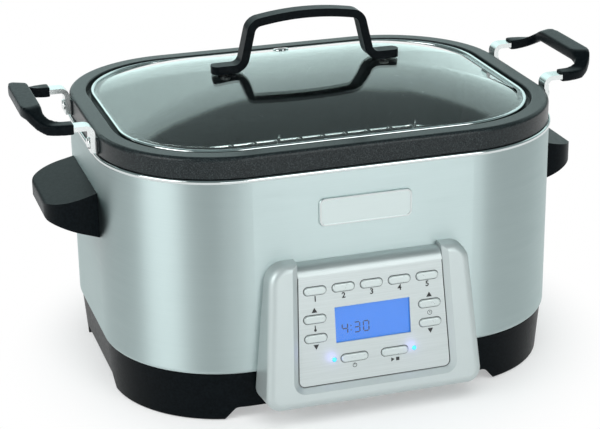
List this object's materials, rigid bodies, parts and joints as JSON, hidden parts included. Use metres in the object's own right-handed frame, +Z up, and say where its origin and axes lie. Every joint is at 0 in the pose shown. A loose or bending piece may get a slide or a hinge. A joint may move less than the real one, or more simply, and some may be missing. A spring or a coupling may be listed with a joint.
{
  "type": "slow cooker",
  "caption": "Rounded-oblong slow cooker with a steel shell, black base, tilted key panel, lift-out coated pan with strap handles, wire rack and domed glass lid.",
  "frame": {"origin": "middle of the whole cooker's footprint, on the table", "axes": "+X to the cooker's right, +Y to its back, +Z up; the control panel faces -Y"},
  "size_m": [0.487, 0.3258, 0.2914],
  "materials": {
    "shell_steel": "brushed level round the body",
    "trim_steel": "polished",
    "well_metal": "dull grey coat",
    "element_sheath": "heat-tinted sheath",
    "zinc_steel": "zinc plated",
    "sensor_metal": "bare",
    "black_plastic": "fine texture",
    "pad_rubber": "matt",
    "circuit_board": "solder mask",
    "component_plastic": "moulded",
    "wire_insulation": "sleeved",
    "nameplate_metal": "satin",
    "silver_plastic": "silver paint",
    "faceplate_metal": "fine brushed",
    "lens_clear": "clear",
    "display_blue": "backlit",
    "lamp_lens": "frosted",
    "key_plastic": "satin",
    "pan_coating": "speckled dark non-stick coat",
    "strap_steel": "polished",
    "lid_glass": "clear tempered",
    "rack_wire": "plated"
  },
  "bodies": {
    "housing": {"outer_shell": "shell_steel", "rim_trim_ring": "trim_steel", "heating_well": "well_metal", "heating_element": "element_sheath", "element_clips": "zinc_steel", "heat_reflector": "zinc_steel", "tie_rods": "zinc_steel", "tie_nuts": "zinc_steel", "base_plate": "zinc_steel", "handle_screws": "zinc_steel", "frame_screws": "zinc_steel", "board_screws": "zinc_steel", "temperature_sensor": "sensor_metal", "thermal_fuse": "sensor_metal", "base": "black_plastic", "side_handle_left": "black_plastic", "side_handle_right": "black_plastic", "cord_gland": "black_plastic", "foot_pads": "pad_rubber", "power_board": "circuit_board", "control_board": "circuit_board", "board_standoffs": "component_plastic", "power_relay": "component_plastic", "filter_capacitor": "component_plastic", "terminal_block": "component_plastic", "key_switches": "component_plastic", "element_leads": "wire_insulation", "ribbon_cable": "wire_insulation", "nameplate": "nameplate_metal", "panel_frame": "silver_plastic", "panel_faceplate": "faceplate_metal", "display_lens": "lens_clear", "display_module": "display_blue", "indicator_lamps": "lamp_lens"},
    "pan": {"cooking_pan": "pan_coating", "pan_straps_left": "strap_steel", "pan_straps_right": "strap_steel", "pan_grip_left": "black_plastic", "pan_grip_right": "black_plastic", "pan_rivets": "strap_steel"},
    "lid": {"lid_glass": "lid_glass", "lid_rim": "trim_steel", "lid_handle": "black_plastic", "lid_screws": "zinc_steel", "lid_washers": "pad_rubber", "vent_grommet": "trim_steel"},
    "rack": {"roasting_rack": "rack_wire"},
    "mode_button_1": {"mode_button_1": "key_plastic"},
    "mode_button_2": {"mode_button_2": "key_plastic"},
    "mode_button_3": {"mode_button_3": "key_plastic"},
    "mode_button_4": {"mode_button_4": "key_plastic"},
    "mode_button_5": {"mode_button_5": "key_plastic"},
    "left_up_button": {"left_up_button": "key_plastic"},
    "left_down_button": {"left_down_button": "key_plastic"},
    "right_up_button": {"right_up_button": "key_plastic"},
    "right_down_button": {"right_down_button": "key_plastic"},
    "power_button": {"power_button": "key_plastic"},
    "start_button": {"start_button": "key_plastic"}
  },
  "joints": [
    {"name": "pan_lift", "type": "slide", "parent": "housing", "child": "pan", "axis": [0, 0, 1], "range_m": [0, 0.16]},
    {"name": "lid_lift", "type": "slide", "parent": "pan", "child": "lid", "axis": [0, 0, 1], "range_m": [0, 0.25]},
    {"name": "rack_lift", "type": "slide", "parent": "pan", "child": "rack", "axis": [0, 0, 1], "range_m": [0, 0.14]},
    {"name": "mode_button_1_press", "type": "slide", "parent": "housing", "child": "mode_button_1", "axis": [0, 0.9903, -0.1392], "range_m": [0, 0.0008], "stiffness_N_per_m": 300, "springref_m": -0.001},
    {"name": "mode_button_2_press", "type": "slide", "parent": "housing", "child": "mode_button_2", "axis": [0, 0.9903, -0.1392], "range_m": [0, 0.0008], "stiffness_N_per_m": 300, "springref_m": -0.001},
    {"name": "mode_button_3_press", "type": "slide", "parent": "housing", "child": "mode_button_3", "axis": [0, 0.9903, -0.1392], "range_m": [0, 0.0008], "stiffness_N_per_m": 300, "springref_m": -0.001},
    {"name": "mode_button_4_press", "type": "slide", "parent": "housing", "child": "mode_button_4", "axis": [0, 0.9903, -0.1392], "range_m": [0, 0.0008], "stiffness_N_per_m": 300, "springref_m": -0.001},
    {"name": "mode_button_5_press", "type": "slide", "parent": "housing", "child": "mode_button_5", "axis": [0, 0.9903, -0.1392], "range_m": [0, 0.0008], "stiffness_N_per_m": 300, "springref_m": -0.001},
    {"name": "left_up_button_press", "type": "slide", "parent": "housing", "child": "left_up_button", "axis": [0, 0.9903, -0.1392], "range_m": [0, 0.0008], "stiffness_N_per_m": 300, "springref_m": -0.001},
    {"name": "left_down_button_press", "type": "slide", "parent": "housing", "child": "left_down_button", "axis": [0, 0.9903, -0.1392], "range_m": [0, 0.0008], "stiffness_N_per_m": 300, "springref_m": -0.001},
    {"name": "right_up_button_press", "type": "slide", "parent": "housing", "child": "right_up_button", "axis": [0, 0.9903, -0.1392], "range_m": [0, 0.0008], "stiffness_N_per_m": 300, "springref_m": -0.001},
    {"name": "right_down_button_press", "type": "slide", "parent": "housing", "child": "right_down_button", "axis": [0, 0.9903, -0.1392], "range_m": [0, 0.0008], "stiffness_N_per_m": 300, "springref_m": -0.001},
    {"name": "power_button_press", "type": "slide", "parent": "housing", "child": "power_button", "axis": [0, 0.9903, -0.1392], "range_m": [0, 0.0008], "stiffness_N_per_m": 300, "springref_m": -0.001},
    {"name": "start_button_press", "type": "slide", "parent": "housing", "child": "start_button", "axis": [0, 0.9903, -0.1392], "range_m": [0, 0.0008], "stiffness_N_per_m": 300, "springref_m": -0.001}
  ],
  "couplings": [
    {"joint": "rack_lift", "follows": "lid_lift", "ratio": 0.55}
  ]
}
